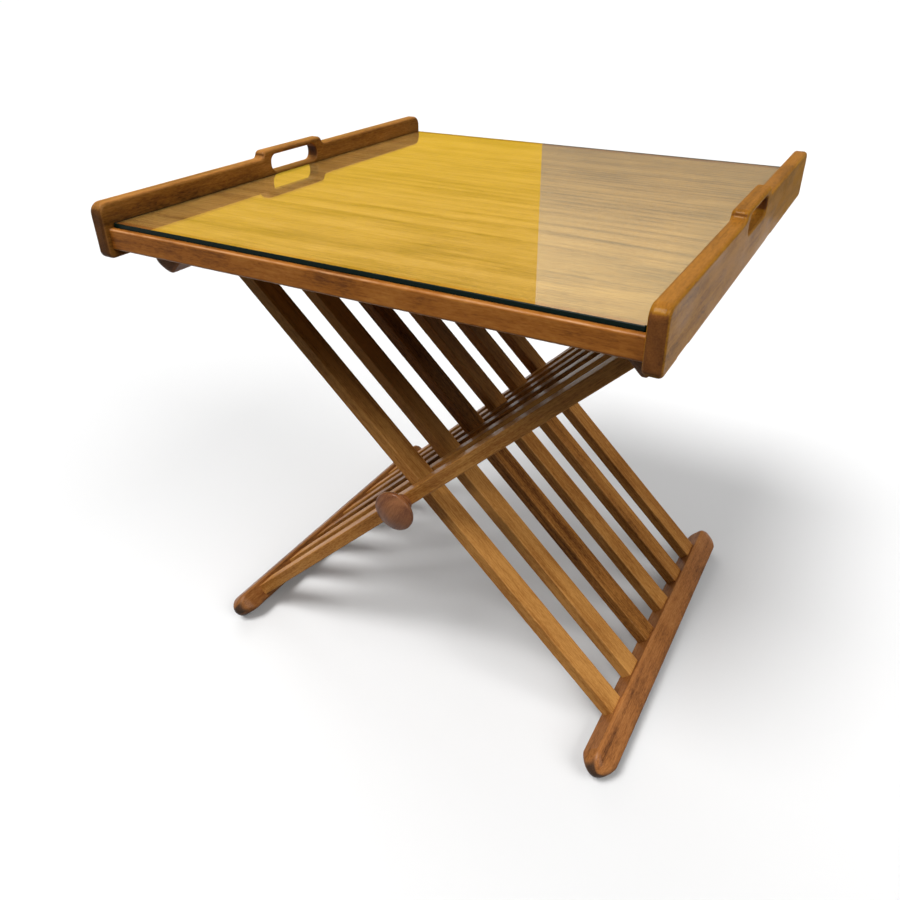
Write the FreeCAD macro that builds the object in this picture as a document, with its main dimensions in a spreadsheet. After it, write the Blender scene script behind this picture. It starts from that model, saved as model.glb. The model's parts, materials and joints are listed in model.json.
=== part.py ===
import FreeCAD, Part
import math
import os
import re
import Sketcher

# Folding butler's tray table: an X-shaped stand of slats, a lift-off tray and a loose glass top.
# X runs along the front apron, Y from front to back, Z up from the floor. Millimetres and degrees.

driving_sizes = {
    # Stand
    "stand_angle": "43.9",      # slope of both frames
    "rail_reach": "488",        # pivot axis to the outer edge of a rail
    "rail_width": "41",
    "rail_thick": "35.5",
    "rail_length": "618",
    "rail_round": "6.5",
    "foot_flat": "0.8",         # depth planed off a foot rail where it meets the floor
    "slat_count": "6",          # in each frame
    "slat_pitch": "83.6",       # from one slat of a frame to the next
    "stack_offset": "-7",       # middle of the row of slats, from the middle of the rails
    "slat_width": "36",
    "slat_thick": "19.5",
    "slat_ease": "1.2",
    "tenon_length": "24",
    "tenon_width": "26",
    "tenon_thick": "10",
    "glue_gap": "0.05",
    # Pivot
    "rod_diameter": "8",
    "rod_clearance": "0.05",
    "rod_grip": "20",           # length of rod inside the knob
    "head_diameter": "16",
    "head_height": "4",
    "head_round": "1.5",
    "insert_diameter": "12",
    "insert_length": "18",
    "knob_diameter": "61.5",
    "knob_neck": "27",
    "knob_collar": "4.5",
    "knob_flare": "16.5",       # height of the flare from collar to rim
    "knob_rim": "6.5",
    "knob_dome": "7",
    "knob_gap": "0.3",          # knob and rod head to the slats
    # Tray
    "seat_gap": "0.3",          # slab to top rails
    "lip_gap": "0.6",           # handle boards to top rails
    "panel_thick": "27.5",
    "edging_width": "18",
    "edging_round": "3.5",
    "tongue_thick": "8",
    "tongue_depth": "7",
    "board_depth": "752",
    "board_thick": "20.2",
    "board_round": "5",
    "board_lip": "11.5",        # drop of a board below the slab
    "board_rise": "32",         # height of a board above the slab
    "board_overhang": "7.5",    # board ends past the edgings
    "top_corner": "14.5",
    "low_corner": "10",
    "handle_length": "128",
    "handle_rise": "10.3",
    "ramp_length": "14.5",
    "slot_length": "110",
    "slot_height": "25.2",
    "slot_base": "8.8",         # slot's lower edge above the slab
    "slot_corner": "11",
    "slot_round": "3",
    "notch_length": "44",
    "notch_depth": "5",
    "notch_inset": "71.5",      # middle of the front notch, from the board's front end
    "notch_far": "118",         # rear notch, from the middle of the board
    "dowel_diameter": "10",
    "dowel_length": "44",
    "dowel_in_board": "13",
    "dowel_inset": "52",        # first and last dowel, from the slab's edges
    # Glass
    "glass_thick": "6.4",
    "glass_side_gap": "1.5",
    "glass_setback": "6",
    "glass_corner": "4",
    "glass_ease": "0.8",
}

# Places that follow from the sizes above: rails on the floor, slab on the rails, boards just outside them
derived_sizes = {
    "corner_gain": "=sin(stand_angle * 1deg) + cos(stand_angle * 1deg) - 1",
    "rail_top": "=rail_reach * sin(stand_angle * 1deg) + rail_thick / 2 * cos(stand_angle * 1deg)"
                " - rail_round * corner_gain",
    "pivot_height": "=rail_top - foot_flat",
    "panel_base": "=pivot_height + rail_top + seat_gap",
    "panel_top": "=panel_base + panel_thick",
    "board_base": "=panel_base - board_lip",
    "board_top": "=panel_top + board_rise",
    "half_inside": "=(rail_reach + lip_gap - board_round * corner_gain - (board_base - pivot_height)"
                   " * sin(stand_angle * 1deg)) / cos(stand_angle * 1deg)",
    "panel_front": "=board_depth / 2 - board_overhang - edging_width",
    "shoulder_reach": "=rail_reach - rail_width",
    "stack_half": "=((slat_count - 0.5) * slat_pitch + slat_width) / 2",
    "stack_front": "=stack_offset - stack_half",
    "stack_back": "=stack_offset + stack_half",
    "first_slat": "=stack_front + slat_width / 2",
    "foot_cut": "=foot_flat + rail_round * corner_gain",
    "knob_height": "=knob_collar + knob_flare + knob_rim + knob_dome",
    "ramp_radius": "=(ramp_length * ramp_length + handle_rise * handle_rise) / (4 * handle_rise)",
    "slot_level": "=panel_top + slot_base + slot_height / 2",
    "grip_flat": "=board_rise + handle_rise - slot_base - slot_height - board_round",
    "dowel_level": "=panel_base + panel_thick / 2",
}

doc = FreeCAD.newDocument("tray_table")
sheet = doc.addObject("Spreadsheet::Sheet", "Sizes")
for row, (alias, content) in enumerate({**driving_sizes, **derived_sizes}.items(), start=1):
    sheet.set(f"A{row}", alias)
    sheet.set(f"B{row}", content)
    sheet.setAlias(f"B{row}", alias)
doc.recompute()

pieces = []


def linked(expression):
    # Sizes are the only names with an underscore in an expression
    return re.sub(r"[a-z]+(_[a-z]+)+", r"Sizes.\g<0>", expression)


def number(expression):
    return float(sheet.evalExpression(linked(expression)))


def bind(feature, **expressions):
    for name, expression in expressions.items():
        feature.setExpression(name, linked(expression))
    return feature


def place(piece, x="0", y="0", z="0", axis=(0, 0, 1), angle="0"):
    piece.Placement = FreeCAD.Placement(FreeCAD.Vector(), FreeCAD.Rotation(FreeCAD.Vector(*axis), 1))
    for path, expression in (("Base.x", x), ("Base.y", y), ("Base.z", z)):
        piece.setExpression(f"Placement.{path}", linked(expression))
    piece.setExpression("Placement.Rotation.Angle", linked(f"({angle}) * 1deg"))
    pieces.append(piece)


def new_body(label):
    body = doc.addObject("PartDesign::Body", label)
    body.Label = label
    return body


def new_sketch(body, role, level="0"):
    sketch = body.newObject("Sketcher::SketchObject", f"{body.Label}_sketch")
    plane = next(item for item in body.Origin.OriginFeatures if item.Role == role)
    sketch.AttachmentSupport = [(plane, "")]
    sketch.MapMode = "FlatFace"
    sketch.setExpression("AttachmentOffset.Base.z", linked(level))
    return sketch


def arc_through(start, end, radius):
    # A positive radius turns left on the way from start to end
    chord = end - start
    side = FreeCAD.Vector(-chord.y, chord.x, 0).normalize()
    rise = math.sqrt(max(radius * radius - chord.Length ** 2 / 4, 0))
    centre = (start + end) / 2 + side * math.copysign(rise, radius)
    first, last = (start, end) if radius > 0 else (end, start)
    angles = [math.atan2(point.y - centre.y, point.x - centre.x) for point in (first, last)]
    circle = Part.Circle(centre, FreeCAD.Vector(0, 0, 1), abs(radius))
    return Part.ArcOfCircle(circle, *angles)


def fix(sketch, constraint, expression):
    index = sketch.addConstraint(constraint)
    sketch.setExpression(f"Constraints[{index}]", linked(expression))


def draw_outline(sketch, corners):
    # Each corner is (x, y), or (x, y, radius) where an arc runs on to the next corner
    points = [FreeCAD.Vector(number(corner[0]), number(corner[1]), 0) for corner in corners]
    base = sketch.GeometryCount
    ends = []
    for index, corner in enumerate(corners):
        start, end = points[index], points[(index + 1) % len(points)]
        radius = number(corner[2]) if len(corner) == 3 else 0
        line = arc_through(start, end, radius) if radius else Part.LineSegment(start, end)
        sketch.addGeometry(line)
        ends.append((2, 1) if radius < 0 else (1, 2))
    for index, corner in enumerate(corners):
        after = (index + 1) % len(corners)
        joint = (base + index, ends[index][1], base + after, ends[after][0])
        sketch.addConstraint(Sketcher.Constraint("Coincident", *joint))
    for index, (corner, point) in enumerate(zip(corners, points)):
        start = (base + index, ends[index][0])
        fix(sketch, Sketcher.Constraint("DistanceX", *start, point.x), corner[0])
        fix(sketch, Sketcher.Constraint("DistanceY", *start, point.y), corner[1])
        if len(corner) == 3:
            size = abs(number(corner[2]))
            fix(sketch, Sketcher.Constraint("Radius", base + index, size), corner[2].lstrip("-"))


def draw_box(sketch, x_low, x_high, y_low, y_high):
    draw_outline(sketch, [(x_low, y_low), (x_high, y_low), (x_high, y_high), (x_low, y_high)])


def draw_circle(sketch, x, y, diameter):
    base = sketch.GeometryCount
    centre = FreeCAD.Vector(number(x), number(y), 0)
    sketch.addGeometry(Part.Circle(centre, FreeCAD.Vector(0, 0, 1), number(diameter) / 2))
    fix(sketch, Sketcher.Constraint("DistanceX", base, 3, centre.x), x)
    fix(sketch, Sketcher.Constraint("DistanceY", base, 3, centre.y), y)
    fix(sketch, Sketcher.Constraint("Diameter", base, number(diameter)), diameter)


def pad(body, sketch, length, side="Symmetric"):
    feature = body.newObject("PartDesign::Pad", f"{body.Label}_pad")
    feature.Profile = sketch
    feature.SideType = side
    return bind(feature, Length=length)


def cut_through(body, sketch):
    feature = body.newObject("PartDesign::Pocket", f"{body.Label}_cut")
    feature.Profile = sketch
    feature.Type = "ThroughAll"
    feature.SideType = "Symmetric"
    return feature


def cut_blind(body, sketch, depth, backwards=False):
    feature = body.newObject("PartDesign::Pocket", f"{body.Label}_cut")
    feature.Profile = sketch
    feature.Reversed = backwards
    return bind(feature, Length=depth)


def round_edges(body, radius, wanted, kind="Fillet"):
    # Rounds or bevels the edges of the body so far that the test picks
    doc.recompute()
    base = body.Tip
    names = [f"Edge{index}" for index, edge in enumerate(base.Shape.Edges, start=1) if wanted(edge)]
    feature = body.newObject(f"PartDesign::{kind}", f"{body.Label}_round")
    feature.Base = (base, names)
    return bind(feature, **{"Radius" if kind == "Fillet" else "Size": radius})


def runs_along(edge, axis):
    direction = edge.Vertexes[-1].Point - edge.Vertexes[0].Point
    straight = edge.Curve.TypeId == "Part::GeomLine"
    return straight and direction.getAngle(axis) % math.pi < 1e-6


def lies_at(edge, axis, level):
    box = edge.BoundBox
    low, high = ((box.XMin, box.XMax), (box.YMin, box.YMax), (box.ZMin, box.ZMax))["XYZ".index(axis)]
    return abs(low - level) < 1e-6 and abs(high - level) < 1e-6


# Slats: shoulders butt on the rails, tenons enter them, a bore at the middle turns on the rod
def make_slat(label, y, axis):
    body = new_body(label)
    plan = new_sketch(body, "XY_Plane")
    draw_box(plan, "-shoulder_reach", "shoulder_reach", "-slat_width / 2", "slat_width / 2")
    pad(body, plan, "slat_thick")
    round_edges(body, "slat_ease", lambda edge: runs_along(edge, FreeCAD.Vector(1, 0, 0)))
    tenons = new_sketch(body, "XY_Plane")
    end = "shoulder_reach + tenon_length"
    draw_box(tenons, f"-({end})", end, "-tenon_width / 2", "tenon_width / 2")
    pad(body, tenons, "tenon_thick")
    bore = new_sketch(body, "XZ_Plane")
    draw_circle(bore, "0", "0", "rod_diameter + 2 * rod_clearance")
    cut_through(body, bore)
    place(body, y=y, z="pivot_height", axis=axis, angle="stand_angle")


# Rails: bars with half-round ends, mortised for the slats; side is -1 or 1 along the slats
def make_rail(label, side, shift, axis, floor_edge):
    body = new_body(label)
    inner, outer = ("shoulder_reach", "rail_reach") if side > 0 else ("-rail_reach", "-shoulder_reach")
    middle = f"{side} * (rail_reach - rail_width / 2)"
    end, tip = "rail_length / 2 - rail_width / 2", "rail_length / 2"
    plan = new_sketch(body, "XY_Plane")
    draw_outline(plan, [
        (inner, f"-({end})", "rail_width / 2"), (middle, f"-({tip})", "rail_width / 2"), (outer, f"-({end})"),
        (outer, end, "rail_width / 2"), (middle, tip, "rail_width / 2"), (inner, end)])
    pad(body, plan, "rail_thick")
    face = number("rail_thick / 2")
    round_edges(body, "rail_round", lambda edge: lies_at(edge, "Z", face) or lies_at(edge, "Z", -face))
    mortise = new_sketch(body, "YZ_Plane", f"{side} * shoulder_reach")
    half_width, half_thick = "(tenon_width / 2 + glue_gap)", "(tenon_thick / 2 + glue_gap)"
    first = f"(first_slat + {shift})"
    draw_box(mortise, f"{first} - {half_width}", f"{first} + {half_width}", f"-{half_thick}", half_thick)
    pocket = cut_blind(body, mortise, "tenon_length + glue_gap", backwards=side > 0)
    row = body.newObject("PartDesign::LinearPattern", f"{label}_mortises")
    row.Originals = [pocket]
    row.Direction = (mortise, ["H_Axis"])
    bind(row, Length="(slat_count - 1) * slat_pitch", Occurrences="slat_count")
    body.Tip = row
    if floor_edge:
        corner_x, corner_z = f"{side} * rail_reach", "-rail_thick / 2"
        along = f"{side} * (rail_reach - foot_cut / sin(stand_angle * 1deg))"
        up = "foot_cut / cos(stand_angle * 1deg) - rail_thick / 2"
        corners = [(along, corner_z), (corner_x, corner_z), (corner_x, up)]
        flat = new_sketch(body, "XZ_Plane")
        draw_outline(flat, corners if side > 0 else corners[::-1])
        cut_through(body, flat)
    place(body, z="pivot_height", axis=axis, angle="stand_angle")


# The outer frame rises to the right, the inner one to the left, half a pitch further back
frames = [("outer", "0", (0, -1, 0), -1), ("inner", "slat_pitch / 2", (0, 1, 0), 1)]
for frame, shift, axis, foot_side in frames:
    for index in range(int(number("slat_count"))):
        make_slat(f"{frame}_slat_{index + 1}", f"first_slat + {shift} + {index} * slat_pitch", axis)
    make_rail(f"{frame}_top_rail", -foot_side, shift, axis, False)
    make_rail(f"{frame}_foot_rail", foot_side, shift, axis, True)


# Pivot: a headed steel rod from the back, gripped in front by a threaded sleeve in a turned knob
def turn_body(label, outline):
    body = new_body(label)
    profile = new_sketch(body, "XZ_Plane")
    draw_outline(profile, outline)
    turned = body.newObject("PartDesign::Revolution", f"{label}_turned")
    turned.Profile = profile
    turned.ReferenceAxis = (profile, ["V_Axis"])
    turned.Angle = 360
    return body


def round_rim(body, radius, rim_radius):
    round_edges(body, radius, lambda edge: abs(edge.BoundBox.XMax - rim_radius) < 1e-6
                and edge.Curve.TypeId == "Part::GeomCircle" and edge.BoundBox.ZLength < 1e-6)


rod_side, head_side = "rod_diameter / 2", "head_diameter / 2"
rod_end = "head_height + stack_back - stack_front + 2 * knob_gap + rod_grip"
rod = turn_body("pivot_rod", [
    ("0", "0"), (head_side, "0"), (head_side, "head_height"), (rod_side, "head_height"),
    (rod_side, rod_end), ("0", rod_end)])
round_rim(rod, "head_round", number(head_side))
place(rod, y="stack_back + knob_gap + head_height", z="pivot_height", axis=(1, 0, 0), angle="90")

rim, neck, flare_top = "knob_diameter / 2", "knob_neck / 2", "knob_collar + knob_flare"
dome = "(knob_dome * knob_dome + (knob_diameter / 2) ^ 2) / (2 * knob_dome)"
flare = "((knob_diameter / 2 - knob_neck / 2) ^ 2 + knob_flare ^ 2) / (2 * knob_flare)"
knob = turn_body("front_knob", [
    ("0", "0"), (neck, "0"), (neck, "knob_collar", f"-({flare})"), (rim, flare_top),
    (rim, f"{flare_top} + knob_rim", dome), ("0", "knob_height")])
round_rim(knob, "knob_rim * 0.45", number(rim))
socket = new_sketch(knob, "XY_Plane")
draw_circle(socket, "0", "0", "insert_diameter + 2 * glue_gap")
cut_blind(knob, socket, "rod_grip + glue_gap", backwards=True)
place(knob, y="stack_front - knob_gap", z="pivot_height", axis=(1, 0, 0), angle="90")

bore_side, sleeve_side = "rod_diameter / 2 + glue_gap", "insert_diameter / 2"
sleeve = turn_body("knob_insert", [
    (bore_side, "0"), (sleeve_side, "0"), (sleeve_side, "insert_length"), (bore_side, "insert_length")])
place(sleeve, y="stack_front - knob_gap", z="pivot_height", axis=(1, 0, 0), angle="90")


# Tray: a slab with tongues, two edgings grooved to take them, two handle boards dowelled on
dowel_places = [f"(panel_front - dowel_inset) * {step} / 3" for step in (-3, -1, 1, 3)]
hole_size = "dowel_diameter + 2 * glue_gap"

panel = new_body("tray_panel")
plan = new_sketch(panel, "XY_Plane")
draw_box(plan, "-half_inside", "half_inside", "-panel_front", "panel_front")
pad(panel, plan, "panel_thick")
tongues = new_sketch(panel, "XY_Plane")
draw_box(tongues, "-half_inside", "half_inside", "-(panel_front + tongue_depth)", "panel_front + tongue_depth")
pad(panel, tongues, "tongue_thick")
for side in (-1, 1):
    holes = new_sketch(panel, "YZ_Plane", f"{side} * half_inside")
    for y in dowel_places:
        draw_circle(holes, y, "0", hole_size)
    cut_blind(panel, holes, "dowel_length - dowel_in_board + glue_gap", backwards=side < 0)
place(panel, z="panel_base + panel_thick / 2")


def make_edging(label, turn):
    body = new_body(label)
    section = new_sketch(body, "YZ_Plane")
    front, back, half = "-edging_width", "0", "panel_thick / 2"
    groove, depth = "(tongue_thick / 2 + glue_gap)", "-(tongue_depth + glue_gap)"
    draw_outline(section, [
        (front, f"-{half}"), (back, f"-{half}"), (back, f"-{groove}"), (depth, f"-{groove}"),
        (depth, groove), (back, groove), (back, half), (front, half)])
    pad(body, section, "2 * half_inside")
    face = number(front)
    round_edges(body, "edging_round", lambda edge: lies_at(edge, "Y", face)
                and runs_along(edge, FreeCAD.Vector(1, 0, 0)))
    y = "-panel_front" if turn == "0" else "panel_front"
    place(body, y=y, z="panel_base + panel_thick / 2", angle=turn)


make_edging("front_edge_rail", "0")
make_edging("back_edge_rail", "180")


def make_board(label, turn):
    body = new_body(label)
    end, half = "board_depth / 2", "handle_length / 2"
    foot, top, crown = "(board_base - slot_level)", "(board_top - slot_level)", "handle_rise"
    side = new_sketch(body, "YZ_Plane", "board_thick / 2")
    ramp_middle = f"({half} + ramp_length / 2)"
    draw_outline(side, [
        (f"-({end} - low_corner)", foot), (f"{end} - low_corner", foot, "low_corner"),
        (end, f"{foot} + low_corner"), (end, f"{top} - top_corner", "top_corner"),
        (f"{end} - top_corner", top), (f"{half} + ramp_length", top, "-ramp_radius"),
        (ramp_middle, f"{top} + {crown} / 2", "ramp_radius"), (half, f"{top} + {crown}"),
        (f"-{half}", f"{top} + {crown}", "ramp_radius"),
        (f"-{ramp_middle}", f"{top} + {crown} / 2", "-ramp_radius"), (f"-({half} + ramp_length)", top),
        (f"-({end} - top_corner)", top, "top_corner"), (f"-({end})", f"{top} - top_corner"),
        (f"-({end})", f"{foot} + low_corner", "low_corner")])
    pad(body, side, "board_thick")
    inner, outer = 0.0, number("board_thick")
    round_edges(body, "board_round", lambda edge: lies_at(edge, "X", inner) or lies_at(edge, "X", outer))
    slot = new_sketch(body, "YZ_Plane")
    y_end, z_end = "slot_length / 2", "slot_height / 2"
    y_run, z_run = f"({y_end} - slot_corner)", f"({z_end} - slot_corner)"
    draw_outline(slot, [
        (f"-{y_run}", f"-({z_end})"), (y_run, f"-({z_end})", "slot_corner"), (y_end, f"-{z_run}"),
        (y_end, z_run, "slot_corner"), (y_run, z_end), (f"-{y_run}", z_end, "slot_corner"),
        (f"-({y_end})", z_run), (f"-({y_end})", f"-{z_run}", "slot_corner")])
    cut_through(body, slot)
    reach = number(y_end) + 1
    round_edges(body, "min(slot_round; 0.9 * grip_flat)", lambda edge: edge.BoundBox.YMax < reach and edge.BoundBox.YMin > -reach
                and abs(edge.CenterOfMass.z) < number(z_end) + 1e-6
                and (lies_at(edge, "X", inner) or lies_at(edge, "X", outer)))
    notches = new_sketch(body, "YZ_Plane")
    for middle in ("notch_inset - board_depth / 2", "notch_far"):
        draw_box(notches, f"{middle} - notch_length / 2", f"{middle} + notch_length / 2", f"{foot} - 1",
                 f"{foot} + notch_depth")
    cut_through(body, notches)
    holes = new_sketch(body, "YZ_Plane")
    for y in dowel_places:
        draw_circle(holes, y, "dowel_level - slot_level", hole_size)
    cut_blind(body, holes, "dowel_in_board + glue_gap", backwards=True)
    x = "half_inside" if turn == "0" else "-half_inside"
    place(body, x=x, z="slot_level", angle=turn)


make_board("right_handle_board", "0")
make_board("left_handle_board", "180")

pins = []
for side in (-1, 1):
    start = "half_inside + dowel_in_board" if side > 0 else "-half_inside - dowel_in_board + dowel_length"
    for y in dowel_places:
        pin = bind(doc.addObject("Part::Cylinder", "dowel"), Radius="dowel_diameter / 2", Height="dowel_length")
        pin.Placement.Rotation = FreeCAD.Rotation(FreeCAD.Vector(0, 1, 0), -90)
        bind(pin, **{"Placement.Base.x": start, "Placement.Base.y": y, "Placement.Base.z": "dowel_level"})
        pins.append(pin)
dowels = doc.addObject("Part::Compound", "tray_dowels")
dowels.Label = "tray_dowels"
dowels.Links = pins
pieces.append(dowels)


# Glass: a loose plate between the boards, set back from the edgings' faces
glass = new_body("glass_plate")
plan = new_sketch(glass, "XY_Plane")
glass_x = "(half_inside - glass_side_gap)"
glass_y = "(panel_front + edging_width - glass_setback)"
draw_box(plan, f"-{glass_x}", glass_x, f"-{glass_y}", glass_y)
pad(glass, plan, "glass_thick", side="One side")
round_edges(glass, "glass_corner", lambda edge: runs_along(edge, FreeCAD.Vector(0, 0, 1)))
top_face = number("glass_thick")
round_edges(glass, "glass_ease", lambda edge: lies_at(edge, "Z", 0.0) or lies_at(edge, "Z", top_face), "Chamfer")
place(glass, z="panel_top")


doc.recompute()
for item in doc.Objects:
    if "Invalid" in item.State or "Error" in item.State:
        raise RuntimeError(f"{item.Label} did not build: {item.State}")
os.makedirs("parts", exist_ok=True)
for piece in pieces:
    if piece.Shape.isNull() or not piece.Shape.isValid():
        raise RuntimeError(f"{piece.Label} has no sound shape")
    piece.Shape.exportStep(f"parts/{piece.Label}.step")
print("inside width", round(2 * number("half_inside"), 2), "slab top", round(number("panel_top"), 2))
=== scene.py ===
import bpy
import bmesh
import json
import math
from mathutils import Euler, Matrix, Vector


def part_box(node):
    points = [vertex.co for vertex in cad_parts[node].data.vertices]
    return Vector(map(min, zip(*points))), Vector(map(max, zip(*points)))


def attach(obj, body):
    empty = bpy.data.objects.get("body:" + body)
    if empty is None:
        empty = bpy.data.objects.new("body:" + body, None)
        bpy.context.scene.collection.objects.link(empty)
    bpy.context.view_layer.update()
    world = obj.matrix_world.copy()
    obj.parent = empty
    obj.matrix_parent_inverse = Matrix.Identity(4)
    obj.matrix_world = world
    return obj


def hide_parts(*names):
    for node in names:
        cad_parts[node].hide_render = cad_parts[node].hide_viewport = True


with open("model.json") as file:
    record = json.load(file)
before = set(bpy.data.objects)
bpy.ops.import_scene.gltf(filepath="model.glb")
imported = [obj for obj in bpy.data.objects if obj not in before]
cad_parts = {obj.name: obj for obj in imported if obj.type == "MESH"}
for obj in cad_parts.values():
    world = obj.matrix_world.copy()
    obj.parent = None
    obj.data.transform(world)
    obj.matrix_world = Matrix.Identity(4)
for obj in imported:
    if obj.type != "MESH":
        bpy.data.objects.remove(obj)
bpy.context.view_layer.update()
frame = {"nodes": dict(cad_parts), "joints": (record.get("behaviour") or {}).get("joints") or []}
nodes = frame["nodes"]
print("frame loaded:", len(nodes), "nodes")


# Small tools shared by the shader and geometry trees
def addNode(tree, kind, sockets=None, **settings):
    node = tree.nodes.new(kind)
    for key, value in settings.items():
        setattr(node, key, value)
    for key, value in (sockets or {}).items():
        if isinstance(value, bpy.types.NodeSocket):
            tree.links.new(value, node.inputs[key])
        else:
            node.inputs[key].default_value = value
    return node


def math2(tree, operation, a, b=0.0, clamp=False):
    return addNode(tree, "ShaderNodeMath", {0: a, 1: b}, operation=operation, use_clamp=clamp).outputs[0]


def vector2(tree, operation, a, b=(0, 0, 0)):
    return addNode(tree, "ShaderNodeVectorMath", {0: a, 1: b}, operation=operation).outputs[0]


def remap(tree, value, low, high, newLow=0.0, newHigh=1.0):
    sockets = {"Value": value, "From Min": low, "From Max": high, "To Min": newLow, "To Max": newHigh}
    return addNode(tree, "ShaderNodeMapRange", sockets, interpolation_type="SMOOTHSTEP").outputs[0]


def noiseAt(tree, vector, stretch, detail, roughness):
    place = vector2(tree, "MULTIPLY", vector, stretch)
    return addNode(tree, "ShaderNodeTexNoise", {"Vector": place, "Scale": 1.0, "Detail": detail,
                                                "Roughness": roughness})


def ramp(tree, value, stops):
    node = addNode(tree, "ShaderNodeValToRGB", {0: value})
    elements = node.color_ramp.elements
    while len(elements) < len(stops):
        elements.new(0.5)
    for element, (position, colour) in zip(elements, stops):
        element.position = position
        element.color = (*colour, 1.0)
    return node.outputs[0]


def mixColour(tree, share, a, b):
    node = addNode(tree, "ShaderNodeMix", data_type="RGBA")
    for index, value in ((0, share), (6, a), (7, b)):
        if isinstance(value, bpy.types.NodeSocket):
            tree.links.new(value, node.inputs[index])
        else:
            node.inputs[index].default_value = value if index == 0 else (*value, 1.0)
    return node.outputs[2]


def mixShare(tree, mask, share, a, b):
    return mixColour(tree, math2(tree, "MULTIPLY", mask, share), a, b)


def axes(tree, vector):
    return addNode(tree, "ShaderNodeSeparateXYZ", {0: vector}).outputs


def scaled(colour, share):
    return tuple(share * part for part in colour)


def setSurface(tree, shader):
    output = next(node for node in tree.nodes if node.type == "OUTPUT_MATERIAL")
    tree.links.new(shader.outputs[0], output.inputs["Surface"])


def setBump(tree, shader, height, look):
    bump = addNode(tree, "ShaderNodeBump", {"Height": height, "Strength": look["bump"],
                                            "Distance": look["bumpDepth"]})
    tree.links.new(bump.outputs[0], shader.inputs["Normal"])


def newMaterial(name):
    material = bpy.data.materials.new(name)
    material.use_nodes = True
    tree = material.node_tree
    tree.nodes.clear()
    shader = addNode(tree, "ShaderNodeBsdfPrincipled")
    addNode(tree, "ShaderNodeOutputMaterial")
    setSurface(tree, shader)
    return material, tree, shader


# Wood: rings round a heart beside the piece, streaks and pores along the grain, own colours at edges and
# ends; the edge colour is partly wear and partly painted highlight, and tops carry painted shading
woodLook = {
    "turn": (0, 0, 0),               # degrees that bring the grain to X
    "heart": (0.1, 0.02, -0.11),     # metres from the ring centre
    "taper": 0.05,                   # draws the rings out along the grain
    "ringWidth": 0.011,
    "warp": 0.02,
    "figure": 0.14,
    "streak": 0.55,
    "mottle": 0.5,
    "fibre": 0.3,
    "fleck": 0.35,
    "pore": 0.35,
    "dark": (0.12, 0.040, 0.008),
    "mid": (0.32, 0.125, 0.027),
    "light": (0.47, 0.215, 0.055),
    "edge": (0.50, 0.235, 0.075),
    # share of the edge colour on rounded edges: partly wear, partly painted highlight
    "edgeWearAndHighlight": 0.4,
    "end": (0.07, 0.024, 0.006),
    "endShade": 0.55,
    "paintedTopShading": 0.0,                 # painted shading: share of the edge colour on faces that look up
    "rough": 0.38,
    "roughSpan": (-0.07, 0.09),
    "poreRough": 0.12,
    "shine": 0.04,
    "coat": 0.10,
    "coatRough": 0.14,
    "bump": 0.2,
    "bumpDepth": 0.0006,
    "fibreRelief": 0.5,
    "poreRelief": 0.8,
    "seed": False,                   # slats carry their own seed
    "seedShift": (2.0, 0.05, 0.04),
    "seedTone": 0.26,
    "scuffTop": 0.0,                 # height of the darker band above the floor
}
# Noise in the wood: stretch along and across the grain, detail, roughness
woodNoise = {
    "bend": ((1.6, 7.0, 7.0), 2.0, 0.5),
    "streak": ((1.5, 42.0, 42.0), 3.0, 0.55),
    "mottle": ((11.0, 24.0, 24.0), 3.0, 0.6),
    "fibre": ((14.0, 520.0, 520.0), 3.0, 0.6),
    "fleck": ((130.0, 620.0, 620.0), 2.0, 0.6),
    "pore": ((36.0, 1300.0, 1300.0), 2.0, 0.5),
    "patch": ((22.0, 60.0, 60.0), 3.0, 0.65),
    "scuff": ((60.0, 60.0, 90.0), 4.0, 0.65),
    "smear": ((9.0, 26.0, 26.0), 3.0, 0.5),
}
# Where each layer begins and ends
woodSteps = {
    "ring": ((0.0, 0.25), (0.12, 0.75), (0.55, 0.6), (0.92, 0.15), (1.0, 0.25)),  # place in a ring, tone
    "tone": (0.22, 0.5, 0.8),        # tones of the dark, middle and light colours
    "grained": (0.4, 1.0, 1.6),      # shares of a plain colour at the same tones
    "pore": (0.6, 0.72),
    "patch": (0.34, 0.62, 0.25, 1.0),
    "edge": (0.97, 0.78),
    "top": (0.6, 0.95),
    "end": (0.5, 0.8),
    "endTop": (0.62, 0.35),
    "smear": (0.3, 0.7),
}


def woodLayer(tree, place, kind):
    return noiseAt(tree, place, *woodNoise[kind]).outputs["Fac"]


def grained(tree, tone, colour):
    shades = [scaled(colour, share) for share in woodSteps["grained"]]
    return ramp(tree, tone, list(zip(woodSteps["tone"], shades)))


def ringFigure(tree, grain, look):
    # Growth rings round the heart, bent by a slow noise
    bend = noiseAt(tree, grain, *woodNoise["bend"]).outputs["Color"]
    bend = vector2(tree, "SUBTRACT", bend, (0.5, 0.5, 0.5))
    bend = vector2(tree, "MULTIPLY", bend, (0, look["warp"], look["warp"]))
    heart = vector2(tree, "ADD", vector2(tree, "ADD", grain, bend), look["heart"])
    heart = vector2(tree, "MULTIPLY", heart, (look["taper"], 1.0, 1.0))
    reach = addNode(tree, "ShaderNodeVectorMath", {0: heart}, operation="LENGTH").outputs["Value"]
    ring = math2(tree, "FRACT", math2(tree, "DIVIDE", reach, look["ringWidth"]))
    return ramp(tree, ring, [(place, (grey,) * 3) for place, grey in woodSteps["ring"]])


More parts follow.
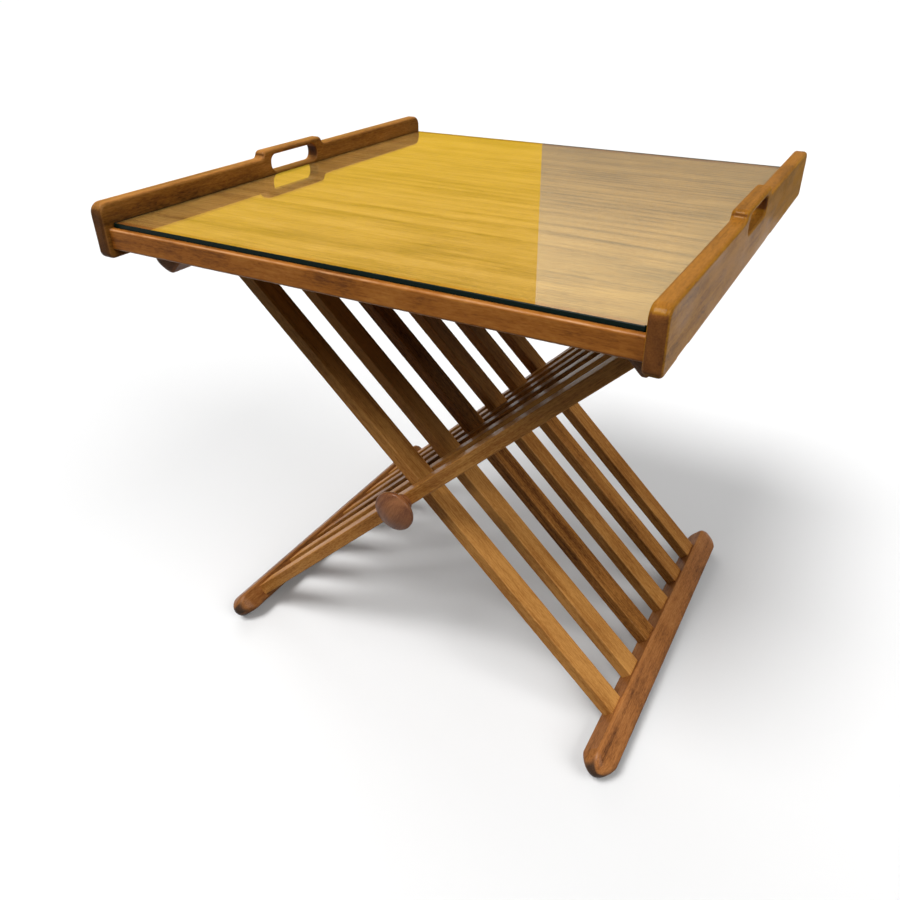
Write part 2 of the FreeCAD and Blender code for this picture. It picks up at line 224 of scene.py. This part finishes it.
def facedColour(tree, facing, grain, tone, colour, look):
    # The surface's own direction tells rounded edges, tops and sawn ends from the flats
    x, y, z = axes(tree, vector2(tree, "ABSOLUTE", facing))
    flat = math2(tree, "MAXIMUM", math2(tree, "MAXIMUM", x, y), z)
    patchy = remap(tree, woodLayer(tree, grain, "patch"), *woodSteps["patch"])
    # Rounded edges take the edge colour in patches: partly wear, partly painted highlight where the edges
    # catch light
    wornAndLit = math2(tree, "MULTIPLY", remap(tree, flat, *woodSteps["edge"]), patchy)
    colour = mixShare(tree, wornAndLit, look["edgeWearAndHighlight"], colour, look["edge"])
    # Painted shading: faces that look up take the edge colour, darker on the right board's top and lighter on
    # the left board's
    top = remap(tree, z, *woodSteps["top"])
    colour = mixShare(tree, top, look["paintedTopShading"], colour, grained(tree, tone, look["edge"]))
    ending = math2(tree, "MULTIPLY", remap(tree, x, *woodSteps["end"]), remap(tree, z, *woodSteps["endTop"]))
    return mixShare(tree, ending, look["endShade"], colour, grained(tree, tone, look["end"]))


def lowTintedColour(tree, place, colour, look):
    # Dark near the floor, with a ragged upper edge
    ragged = math2(tree, "SUBTRACT", woodLayer(tree, place, "scuff"), 0.5)
    ragged = math2(tree, "MULTIPLY", ragged, look["scuffTop"] * look["lowTintRagged"])
    height = math2(tree, "ADD", axes(tree, place)[2], ragged)
    low = remap(tree, height, look["scuffTop"], look["scuffTop"] * look["lowTintFade"])
    return mixShare(tree, low, look["lowTintShare"], colour, look["scuff"])


def woodFinish(tree, shader, grain, fibre, pore, look):
    roughSpan = (look["rough"] + step for step in look["roughSpan"])
    rough = remap(tree, woodLayer(tree, grain, "smear"), *woodSteps["smear"], *roughSpan)
    rough = math2(tree, "ADD", rough, math2(tree, "MULTIPLY", pore, look["poreRough"]))
    tree.links.new(rough, shader.inputs["Roughness"])
    relief = math2(tree, "SUBTRACT", math2(tree, "MULTIPLY", fibre, look["fibreRelief"]),
                   math2(tree, "MULTIPLY", pore, look["poreRelief"]))
    setBump(tree, shader, relief, look)
    shader.inputs["Specular IOR Level"].default_value = look["shine"]
    shader.inputs["Coat Weight"].default_value = look["coat"]
    shader.inputs["Coat Roughness"].default_value = look["coatRough"]


def woodMaterial(name, look):
    material, tree, shader = newMaterial(name)
    turn = tuple(math.radians(angle) for angle in look["turn"])
    source = addNode(tree, "ShaderNodeTexCoord").outputs
    grain = addNode(tree, "ShaderNodeMapping", {"Vector": source["Object"], "Rotation": turn}).outputs[0]
    facing = addNode(tree, "ShaderNodeMapping", {"Vector": source["Normal"], "Rotation": turn},
                     vector_type="VECTOR").outputs[0]
    tone = 0.0
    if look["seed"]:
        seed = addNode(tree, "ShaderNodeAttribute", attribute_name="pieceSeed").outputs["Vector"]
        grain = vector2(tree, "ADD", grain, vector2(tree, "MULTIPLY", seed, look["seedShift"]))
        tone = math2(tree, "MULTIPLY", axes(tree, seed)[2], look["seedTone"])
    layers = {"figure": ringFigure(tree, grain, look)}
    for kind in ("streak", "mottle", "fibre", "fleck"):
        layers[kind] = woodLayer(tree, grain, kind)
    for kind, value in layers.items():
        part = math2(tree, "MULTIPLY", math2(tree, "SUBTRACT", value, 0.5), look[kind])
        tone = math2(tree, "ADD", part, tone)
    tone = math2(tree, "ADD", tone, 0.5)
    pore = remap(tree, woodLayer(tree, grain, "pore"), *woodSteps["pore"])
    colour = ramp(tree, tone, list(zip(woodSteps["tone"], (look["dark"], look["mid"], look["light"]))))
    colour = mixShare(tree, pore, look["pore"], colour, look["dark"])
    colour = facedColour(tree, facing, grain, tone, colour, look)
    if look["scuffTop"]:
        colour = lowTintedColour(tree, source["Object"], colour, look)
    tree.links.new(colour, shader.inputs["Base Color"])
    woodFinish(tree, shader, grain, layers["fibre"], pore, look)
    return material


def dress(names, material):
    for name in names:
        mesh = nodes[name].data
        mesh.materials.clear()
        mesh.materials.append(material)


def copyOf(node, name, mergeWithin):
    mesh = nodes[node].data.copy()
    mesh.name = name
    solid = bmesh.new()
    solid.from_mesh(mesh)
    bmesh.ops.remove_doubles(solid, verts=solid.verts, dist=mergeWithin)
    solid.to_mesh(mesh)
    solid.free()
    mesh.materials.clear()
    piece = bpy.data.objects.new(name, mesh)
    bpy.context.scene.collection.objects.link(piece)
    return piece


# Stand: where the frames lie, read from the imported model
pivotPoint = Vector(frame["joints"][0]["pos_m"])
railLow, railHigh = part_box("outer_top_rail")
railMiddle = (railLow + railHigh) / 2 - pivotPoint
slope = math.degrees(math.atan2(railMiddle.z, railMiddle.x))
frameTurns = {"outer": (0, slope, 0), "inner": (0, -slope, 0)}
print("frames slope at", round(slope, 2), "degrees")

# Slats: one row for each frame, with eased edges and the bore for the rod
slatLook = dict(
    woodLook, seed=True, heart=(0.1, 0.01, -0.07), ringWidth=0.009,
    fleck=0.6, fibre=0.45, streak=0.7,
    dark=(0.09, 0.028, 0.005), mid=(0.31, 0.122, 0.026), light=(0.50, 0.235, 0.060),
    edge=(0.50, 0.245, 0.075), edgeWearAndHighlight=0.3, shine=0.02, coat=0.05)
slatSettings = {
    "ease": 0.0018, "easeSteps": 4, "boreSides": 40, "flatArea": 0.0006, "smoothAngle": 35,
    "flankShare": 0.45, "boreShare": 0.25,   # of the thickness, to tell flanks and bore from the other points
    "seeds": {"outer": 178, "inner": 183}}


def slatTree():
    tree = bpy.data.node_groups.new("slatRow", "GeometryNodeTree")
    tree.interface.new_socket("Geometry", in_out="OUTPUT", socket_type="NodeSocketGeometry")
    for label, kind in (("Count", "Int"), ("First", "Vector"), ("Pitch", "Vector"), ("Start", "Vector"),
                        ("End", "Vector"), ("Width", "Float"), ("Thick", "Float"), ("Ease", "Float"),
                        ("Ease Steps", "Int"), ("Bore", "Float"), ("Bore Sides", "Int"), ("Turn", "Vector"),
                        ("Pivot", "Vector"), ("Seed", "Int"), ("Material", "Material")):
        tree.interface.new_socket(label, in_out="INPUT", socket_type=f"NodeSocket{kind}")
    given = addNode(tree, "NodeGroupInput").outputs
    section = addNode(tree, "GeometryNodeCurvePrimitiveQuadrilateral",
                      {"Width": given["Width"], "Height": given["Thick"]}).outputs[0]
    eased = addNode(tree, "GeometryNodeFilletCurve", {"Curve": section, "Radius": given["Ease"],
                                                      "Count": given["Ease Steps"]}, mode="POLY").outputs[0]
    run = addNode(tree, "GeometryNodeCurvePrimitiveLine", {"Start": given["Start"],
                                                           "End": given["End"]}).outputs[0]
    bar = addNode(tree, "GeometryNodeCurveToMesh", {"Curve": run, "Profile Curve": eased,
                                                    "Fill Caps": True}).outputs[0]
    deep = math2(tree, "MULTIPLY", given["Width"], 2.0)
    drill = addNode(tree, "GeometryNodeMeshCylinder",
                    {"Vertices": given["Bore Sides"], "Radius": given["Bore"], "Depth": deep}).outputs[0]
    drill = addNode(tree, "GeometryNodeTransform", {"Geometry": drill,
                                                    "Rotation": (math.pi / 2, 0, 0)}).outputs[0]
    bored = addNode(tree, "GeometryNodeMeshBoolean", {0: bar, 1: drill},
                    operation="DIFFERENCE", solver="EXACT").outputs[0]
    row = addNode(tree, "GeometryNodeMeshLine", {"Count": given["Count"], "Start Location": given["First"],
                                                 "Offset": given["Pitch"]}).outputs[0]
    slats = addNode(tree, "GeometryNodeInstanceOnPoints", {"Points": row, "Instance": bored}).outputs[0]
    chance = addNode(tree, "FunctionNodeRandomValue", {0: (-1, -1, -1), 1: (1, 1, 1), "Seed": given["Seed"]},
                     data_type="FLOAT_VECTOR").outputs[0]
    marked = addNode(tree, "GeometryNodeStoreNamedAttribute",
                     {"Geometry": slats, "Name": "pieceSeed", "Value": chance},
                     data_type="FLOAT_VECTOR", domain="INSTANCE").outputs[0]
    real = addNode(tree, "GeometryNodeRealizeInstances", {"Geometry": marked}).outputs[0]
    turned = addNode(tree, "GeometryNodeTransform", {"Geometry": real, "Rotation": given["Turn"],
                                                     "Translation": given["Pivot"]}).outputs[0]
    painted = addNode(tree, "GeometryNodeSetMaterial", {"Geometry": turned,
                                                        "Material": given["Material"]}).outputs[0]
    addNode(tree, "NodeGroupOutput", {"Geometry": painted})
    return tree


def plainMesh(tree, values, name):
    holder = bpy.data.objects.new(f"{name}_maker", bpy.data.meshes.new(f"{name}_maker"))
    bpy.context.scene.collection.objects.link(holder)
    modifier = holder.modifiers.new("rows", "NODES")
    modifier.node_group = tree
    for item in tree.interface.items_tree:
        if item.in_out == "INPUT":
            modifier[item.identifier] = values[item.name]
    bpy.context.view_layer.update()
    evaluated = holder.evaluated_get(bpy.context.evaluated_depsgraph_get())
    mesh = bpy.data.meshes.new_from_object(evaluated)
    holder.modifiers.remove(modifier)
    bpy.data.objects.remove(holder)
    mesh.name = name
    piece = bpy.data.objects.new(name, mesh)
    bpy.context.scene.collection.objects.link(piece)
    return piece


def smoothUpTo(piece, degrees, flatArea):
    piece.data.shade_smooth()
    piece.data.set_sharp_from_angle(angle=math.radians(degrees))
    for face in piece.data.polygons:
        face.use_smooth = face.area < flatArea  # broad faces stay flat between their eased edges


rowTree = slatTree()
for side, turn in frameTurns.items():
    names = sorted(name for name in nodes if name.startswith(f"{side}_slat_"))
    level = Matrix.Rotation(math.radians(turn[1]), 3, "Y")
    points = [level @ (vertex.co - pivotPoint) for vertex in nodes[names[0]].data.vertices]
    thick = 2 * max(abs(point.z) for point in points)
    shoulder = max(abs(point.x) for point in points if abs(point.z) > slatSettings["flankShare"] * thick)
    spans = [math.hypot(point.x, point.z) for point in points]
    bore = max(span for span in spans if span < slatSettings["boreShare"] * thick)
    low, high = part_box(names[0])
    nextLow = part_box(names[1])[0]
    values = {
        "Count": len(names), "First": (0, (low.y + high.y) / 2, 0), "Pitch": (0, nextLow.y - low.y, 0),
        "Start": (-shoulder, 0, 0), "End": (shoulder, 0, 0), "Width": high.y - low.y, "Thick": thick,
        "Ease": slatSettings["ease"], "Ease Steps": slatSettings["easeSteps"], "Bore": bore,
        "Bore Sides": slatSettings["boreSides"], "Turn": (0, -math.radians(turn[1]), 0),
        "Pivot": (pivotPoint.x, 0, pivotPoint.z), "Seed": slatSettings["seeds"][side],
        "Material": woodMaterial(f"{side}SlatWood", dict(slatLook, turn=turn))}
    row = plainMesh(rowTree, values, f"{side}_slats")
    smoothUpTo(row, slatSettings["smoothAngle"], slatSettings["flatArea"])
    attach(row, f"{side}_frame")
    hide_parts(*names)
    print(row.name, "made:", len(row.data.polygons), "faces, bore", round(2 * bore, 5), "m")

# Rails: one wood, painted darker on the outer frame and lighter on the inner frame as painted shade and
# light, and the foot rails are darker along the floor
railLook = dict(
    woodLook, fleck=0.55, streak=0.45, mottle=0.7, endShade=0.5,
    dark=(0.085, 0.028, 0.008), mid=(0.275, 0.101, 0.026), light=(0.43, 0.185, 0.056),
    edge=(0.36, 0.15, 0.050), edgeWearAndHighlight=0.4,
    scuff=(0.030, 0.019, 0.013), lowTintRagged=0.9, lowTintFade=0.2, lowTintShare=0.85)
railSettings = {
    "arris": 0.0035, "arrisSteps": 6, "endSteps": 14, "endTurn": 86.0, "flatArea": 0.0006, "smoothAngle": 35,
    "footLowTint": 0.032, "footEndShade": 0.9, "shade": {"outer": 0.72, "inner": 1.05},
    "noses": {"top": {"round": 0.012, "drop": 0.5}, "foot": {"round": 0.027, "drop": 0.9}}}


def barMesh(half, nose, name):
    # A bar along Y: eased arrises that swell into the round nose at each end
    steps, sections = railSettings["arrisSteps"], []
    for step in range(railSettings["endSteps"] + 1):
        angle = math.radians(railSettings["endTurn"]) * (1 - step / railSettings["endSteps"])
        wide = half.x * math.cos(angle)
        deep = half.z * (1 - nose["drop"] * (1 - math.cos(angle)))
        arris = railSettings["arris"] + (min(wide, deep) - railSettings["arris"]) * math.sin(angle)
        sections.append((half.y - nose["round"] * (1 - math.sin(angle)), wide, deep, arris))
    sections = [(-reach, *size) for reach, *size in sections] + sections[::-1]
    points = []
    for reach, wide, deep, arris in sections:
        for quarter, (right, up) in enumerate(((1, 1), (-1, 1), (-1, -1), (1, -1))):
            for step in range(steps + 1):
                angle = math.pi / 2 * (quarter + step / steps)
                points.append(((wide - arris) * right + arris * math.cos(angle), reach,
                               (deep - arris) * up + arris * math.sin(angle)))
    count = 4 * (steps + 1)
    last = len(points) - count
    faces = [tuple(range(count)), tuple(range(last, last + count))]
    for row in range(len(sections) - 1):
        for turn in range(count):
            a, b = row * count + turn, row * count + (turn + 1) % count
            faces.append((a, b, b + count, a + count))
    mesh = bpy.data.meshes.new(name)
    mesh.from_pydata(points, [], faces)
    solid = bmesh.new()
    solid.from_mesh(mesh)
    bmesh.ops.recalc_face_normals(solid, faces=solid.faces)
    solid.to_mesh(mesh)
    solid.free()
    return mesh


def railPiece(side, height, turn, material):
    node = f"{side}_{height}_rail"
    level = Matrix.Rotation(math.radians(turn[1]), 3, "Y")
    points = [level @ (vertex.co - pivotPoint) for vertex in nodes[node].data.vertices]
    low = Vector([min(point[axis] for point in points) for axis in range(3)])
    high = Vector([max(point[axis] for point in points) for axis in range(3)])
    mesh = barMesh((high - low) / 2, railSettings["noses"][height], f"{node}_bar")
    piece = bpy.data.objects.new(f"{node}_bar", mesh)
    bpy.context.scene.collection.objects.link(piece)
    floorSide, traySide = (corner.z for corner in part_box(node))
    for vertex in piece.data.vertices:
        vertex.co = level.inverted() @ (vertex.co + (low + high) / 2) + pivotPoint
        vertex.co.z = min(max(vertex.co.z, floorSide), traySide)  # planed at the floor or the tray
    piece.data.materials.append(material)
    smoothUpTo(piece, railSettings["smoothAngle"], railSettings["flatArea"])
    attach(piece, f"{side}_frame")
    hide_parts(node)


for side, turn in frameTurns.items():
    # Painted shade and light: the same rail colours, scaled darker on the outer frame and lighter on the
    # inner
    shade = railSettings["shade"][side]
    shades = {key: scaled(railLook[key], shade) for key in ("dark", "mid", "light", "edge")}
    alongRail = dict(railLook, turn=(0, turn[1], -90), **shades)
    railPiece(side, "top", turn, woodMaterial(f"{side}TopRailWood", alongRail))
    # Foot rails: darker towards the floor, and their ends take that same dark colour
    alongRail.update(scuffTop=railSettings["footLowTint"], end=railLook["scuff"],
                     endShade=railSettings["footEndShade"])
    railPiece(side, "foot", turn, woodMaterial(f"{side}FootRailWood", alongRail))
print("rails made")

# Tray: one board wood, painted darker on the left board as painted shade and lighter and yellower on the
# right board as painted sheen
boardLook = dict(
    woodLook, turn=(0, 0, -90), heart=(0.05, 0.10, -0.62), ringWidth=0.016,
    fleck=0.5, dark=(0.05, 0.018, 0.004), mid=(0.19, 0.075, 0.011), light=(0.31, 0.135, 0.026),
    edge=(0.36, 0.15, 0.038), edgeWearAndHighlight=0.45, endShade=0.8, paintedTopShading=0.7, shine=0.012, coat=0.1)
# Left board: painted shade, darker than the right board's same wood
dress(["left_handle_board"], woodMaterial("leftBoardShadedWood", boardLook))
# Right board: painted sheen, lighter and yellower than the left board's same wood
rightBoardSheenLook = dict(
    boardLook, dark=(0.09, 0.037, 0.003), mid=(0.367, 0.152, 0.008), light=(0.48, 0.225, 0.018),
    edge=(0.216, 0.080, 0.013), paintedTopShading=0.75, end=(0.13, 0.042, 0.012), endShade=0.9)
dress(["right_handle_board"], woodMaterial("rightBoardSheenWood", rightBoardSheenLook))
# The edging's pale rounded top edge is partly wear and partly painted highlight
edgingLook = dict(
    woodLook, heart=(0.0, 0.42, -0.78), ringWidth=0.018, mottle=0.9, streak=0.35, fleck=0.5,
    dark=(0.10, 0.028, 0.004), mid=(0.305, 0.100, 0.013), light=(0.43, 0.168, 0.030),
    edge=(0.60, 0.31, 0.14), edgeWearAndHighlight=0.7)
dress(["front_edge_rail", "back_edge_rail"], woodMaterial("edgingWood", edgingLook))
veneerLook = dict(
    woodLook, heart=(0.2, 0.25, -1.35), ringWidth=0.007, taper=0.10, warp=0.012,
    figure=0.3, streak=0.6, mottle=0.35, fibre=0.9, fleck=0.5,
    dark=(0.09, 0.038, 0.008), mid=(0.36, 0.184, 0.042), light=(0.525, 0.295, 0.080),
    edgeWearAndHighlight=0.0, endShade=0.2)
dress(["tray_panel"], woodMaterial("trayVeneer", veneerLook))
dowelLook = dict(
    woodLook, dark=(0.40, 0.27, 0.15), mid=(0.60, 0.44, 0.27), light=(0.72, 0.57, 0.38), coat=0.0, rough=0.6)
dress(["tray_dowels"], woodMaterial("dowelWood", dowelLook))
print("tray dressed")

# Pivot: a turned knob on a steel rod, with a brass sleeve inside
knobLook = dict(
    woodLook, turn=(0, 60, 0), heart=(0.1, 0.6, -0.1), ringWidth=0.006, warp=0.012,
    figure=0.2, streak=0.7, dark=(0.035, 0.010, 0.004), mid=(0.19, 0.066, 0.023), light=(0.31, 0.125, 0.045),
    edgeWearAndHighlight=0.0, endShade=0.0, rough=0.32, shine=0.04, coat=0.25, coatRough=0.06)
dress(["front_knob"], woodMaterial("knobWood", knobLook))
rodLook = {
    "dark": (0.38, 0.37, 0.36), "light": (0.62, 0.61, 0.60), "rough": 0.34, "roughSpan": (-0.08, 0.1),
    "lines": ((300.0, 900.0, 300.0), 3.0, 0.6), "linesSeen": (0.3, 0.7), "bump": 0.15, "bumpDepth": 0.0002}
insertLook = dict(rodLook, dark=(0.50, 0.34, 0.13), light=(0.72, 0.55, 0.28), rough=0.3)


def metalMaterial(name, look):
    material, tree, shader = newMaterial(name)
    source = addNode(tree, "ShaderNodeTexCoord").outputs["Object"]
    lathe = noiseAt(tree, source, *look["lines"]).outputs["Fac"]
    tree.links.new(mixColour(tree, lathe, look["dark"], look["light"]), shader.inputs["Base Color"])
    roughSpan = (look["rough"] + step for step in look["roughSpan"])
    tree.links.new(remap(tree, lathe, *look["linesSeen"], *roughSpan), shader.inputs["Roughness"])
    setBump(tree, shader, lathe, look)
    shader.inputs["Metallic"].default_value = 1.0
    return material


dress(["pivot_rod"], metalMaterial("rodSteel", rodLook))
dress(["knob_insert"], metalMaterial("insertBrass", insertLook))
print("pivot dressed")

# Glass: clear plate, dark green where it is seen through its edge
glassLook = {
    "tint": (0.985, 0.995, 0.99), "ior": 1.5,
    "edge": (0.002, 0.013, 0.009), "edgeDeep": (0.0008, 0.005, 0.0035), "edgeRough": (0.15, 0.28),
    "edgeShine": 0.06, "ground": ((40.0, 40.0, 900.0), 3.0, 0.5), "groundSeen": (0.3, 0.7),
    "upright": 0.75, "mergeWithin": 1e-6, "filmGap": 0.0001, "flatArea": 0.0005, "smoothAngle": 25}


def plateMaterial():
    material, tree, shader = newMaterial("clearGlass")
    shader.inputs["Base Color"].default_value = (*glassLook["tint"], 1.0)
    shader.inputs["Transmission Weight"].default_value = 1.0
    shader.inputs["Roughness"].default_value = 0.0
    shader.inputs["IOR"].default_value = glassLook["ior"]
    through = addNode(tree, "ShaderNodeBsdfTransparent", {"Color": (*glassLook["tint"], 1.0)})
    # Shadow and diffuse rays pass straight through, so that light reaches the veneer
    path = addNode(tree, "ShaderNodeLightPath").outputs
    lighting = math2(tree, "ADD", path["Is Shadow Ray"], path["Is Diffuse Ray"], clamp=True)
    blend = addNode(tree, "ShaderNodeMixShader", {0: lighting, 1: shader.outputs[0], 2: through.outputs[0]})
    setSurface(tree, blend)
    return material


def edgeMaterial():
    material, tree, shader = newMaterial("glassEdge")
    source = addNode(tree, "ShaderNodeTexCoord").outputs["Object"]
    ground = noiseAt(tree, source, *glassLook["ground"]).outputs["Fac"]
    colour = mixColour(tree, ground, glassLook["edgeDeep"], glassLook["edge"])
    tree.links.new(colour, shader.inputs["Base Color"])
    rough = remap(tree, ground, *glassLook["groundSeen"], *glassLook["edgeRough"])
    tree.links.new(rough, shader.inputs["Roughness"])
    shader.inputs["Specular IOR Level"].default_value = glassLook["edgeShine"]
    return material


glass = copyOf("glass_plate", "glass_top", glassLook["mergeWithin"])
glass.data.materials.append(plateMaterial())
glass.data.materials.append(edgeMaterial())
for face in glass.data.polygons:
    face.material_index = 0 if abs(face.normal.z) > glassLook["upright"] else 1
underside = min(vertex.co.z for vertex in glass.data.vertices)
for vertex in glass.data.vertices:
    if vertex.co.z < underside + glassLook["filmGap"]:
        vertex.co.z = underside + glassLook["filmGap"]  # a film of air over the veneer
smoothUpTo(glass, glassLook["smoothAngle"], glassLook["flatArea"])
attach(glass, "glass")
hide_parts("glass_plate")
print("glass made")

# Floor, light and camera
stageLook = {
    "floorSize": 60.0, "floorDrop": 0.0004, "floorRough": 0.9, "floorSeen": 0.71, "floorBounce": 0.1,
    "skyLow": 0.03, "skyHigh": 0.64, "skySteep": 2.0, "skyLeft": 1.3, "skyRight": 0.5,
    "lamps": {"studio_key": {"from": (-0.216, -0.432, 0.876), "power": 2.75, "angle": 27.0},
              "studio_side": {"from": (0.75, -0.20, 0.63), "power": 1.6, "angle": 38.0},
              "studio_back": {"from": (-0.62, 0.58, 0.53), "power": 0.8, "angle": 40.0}},
    "cardLow": 0.3, "cardHigh": 3.0,
    "cards": {"gold_card": {"ends": ((-0.686, 1.744), (-3.42, -0.309)),
                            "foot": (0.92, 0.585, 0.03), "head": (0.92, 0.585, 0.03)},
              "cream_card": {"ends": ((2.02, 1.595), (-0.686, 1.744)),
                             "foot": (0.34, 0.30, 0.22), "head": (1.15, 0.97, 0.60)}},
    "cardFade": (0.95, 1.65),
}


def shownShare(tree):
    # Rays that see the stage as the picture's white ground
    path = addNode(tree, "ShaderNodeLightPath").outputs
    mirrored = math2(tree, "ADD", path["Is Glossy Ray"], path["Is Transmission Ray"])
    return math2(tree, "ADD", path["Is Camera Ray"], mirrored, clamp=True)


def stageFloor():
    bpy.ops.mesh.primitive_plane_add(size=stageLook["floorSize"], location=(0, 0, -stageLook["floorDrop"]))
    floor = bpy.context.object
    floor.name = "studio_floor"
    material, tree, shader = newMaterial("studioFloor")
    paint = mixColour(tree, shownShare(tree), (stageLook["floorBounce"],) * 3, (stageLook["floorSeen"],) * 3)
    tree.links.new(paint, shader.inputs["Base Color"])
    shader.inputs["Roughness"].default_value = stageLook["floorRough"]
    shader.inputs["Specular IOR Level"].default_value = 0.0
    floor.data.materials.append(material)


def stageSky():
    world = bpy.data.worlds.new("studioSky")
    bpy.context.scene.world = world
    world.use_nodes = True
    tree = world.node_tree
    tree.nodes.clear()
    # Brighter towards the top and the left
    way = axes(tree, addNode(tree, "ShaderNodeTexCoord").outputs["Generated"])
    rise = math2(tree, "POWER", math2(tree, "MAXIMUM", way[2]), stageLook["skySteep"])
    fill = addNode(tree, "ShaderNodeMapRange", {"Value": rise, "To Min": stageLook["skyLow"],
                                                "To Max": stageLook["skyHigh"]})
    lean = addNode(tree, "ShaderNodeMapRange", {"Value": way[0], "From Min": -1.0,
                                                "To Min": stageLook["skyLeft"],
                                                "To Max": stageLook["skyRight"]})
    level = math2(tree, "MULTIPLY", fill.outputs[0], lean.outputs[0])
    strength = math2(tree, "MAXIMUM", level, shownShare(tree))
    sky = addNode(tree, "ShaderNodeBackground", {"Color": (1, 1, 1, 1), "Strength": strength})
    addNode(tree, "ShaderNodeOutputWorld", {"Surface": sky.outputs[0]})


def stageLights():
    for name, look in stageLook["lamps"].items():
        lamp = bpy.data.objects.new(name, bpy.data.lights.new(name, "SUN"))
        lamp.data.energy = look["power"]
        lamp.data.angle = math.radians(look["angle"])
        lamp.rotation_euler = Vector(look["from"]).to_track_quat("Z", "Y").to_euler()
        bpy.context.scene.collection.objects.link(lamp)


def stageCards():
    # Plain cards behind the table, seen only as reflections
    low, high = stageLook["cardLow"], stageLook["cardHigh"]
    for name, look in stageLook["cards"].items():
        (x1, y1), (x2, y2) = look["ends"]
        mesh = bpy.data.meshes.new(name)
        mesh.from_pydata([(x1, y1, low), (x2, y2, low), (x2, y2, high), (x1, y1, high)], [], [(0, 1, 2, 3)])
        card = bpy.data.objects.new(name, mesh)
        bpy.context.scene.collection.objects.link(card)
        material, tree, shader = newMaterial(name)
        tree.nodes.remove(shader)
        height = axes(tree, addNode(tree, "ShaderNodeTexCoord").outputs["Object"])[2]
        paint = mixColour(tree, remap(tree, height, *stageLook["cardFade"]), look["foot"], look["head"])
        glow = addNode(tree, "ShaderNodeEmission", {"Color": paint, "Strength": 1.0})
        setSurface(tree, glow)
        mesh.materials.append(material)
        card.visible_camera = card.visible_diffuse = card.visible_shadow = False


cameraLook = {"place": (0.52031, -1.00335, 1.00589), "yaw": 29.256, "pitch": 31.100, "roll": -0.351,
              "focalPixels": 776.97, "axisPixel": (464.79, 435.47), "imagePixels": 900, "sensor": 36.0}


def stageCamera():
    camera = bpy.data.objects.new("photo_camera", bpy.data.cameras.new("photo_camera"))
    bpy.context.scene.collection.objects.link(camera)
    turn = Euler((math.radians(90 - cameraLook["pitch"]), 0, math.radians(cameraLook["yaw"]))).to_matrix()
    turn = turn @ Matrix.Rotation(math.radians(cameraLook["roll"]), 3, "Z")
    camera.rotation_euler = turn.to_euler()
    camera.location = cameraLook["place"]
    size, half = cameraLook["imagePixels"], cameraLook["imagePixels"] / 2
    camera.data.sensor_width = cameraLook["sensor"]
    camera.data.lens = cameraLook["focalPixels"] * cameraLook["sensor"] / size
    camera.data.shift_x = (half - cameraLook["axisPixel"][0]) / size
    camera.data.shift_y = (cameraLook["axisPixel"][1] - half) / size
    bpy.context.scene.camera = camera


stageFloor()
stageSky()
stageLights()
stageCards()
stageCamera()
bpy.context.scene.view_settings.view_transform = "Standard"
print("stage set")
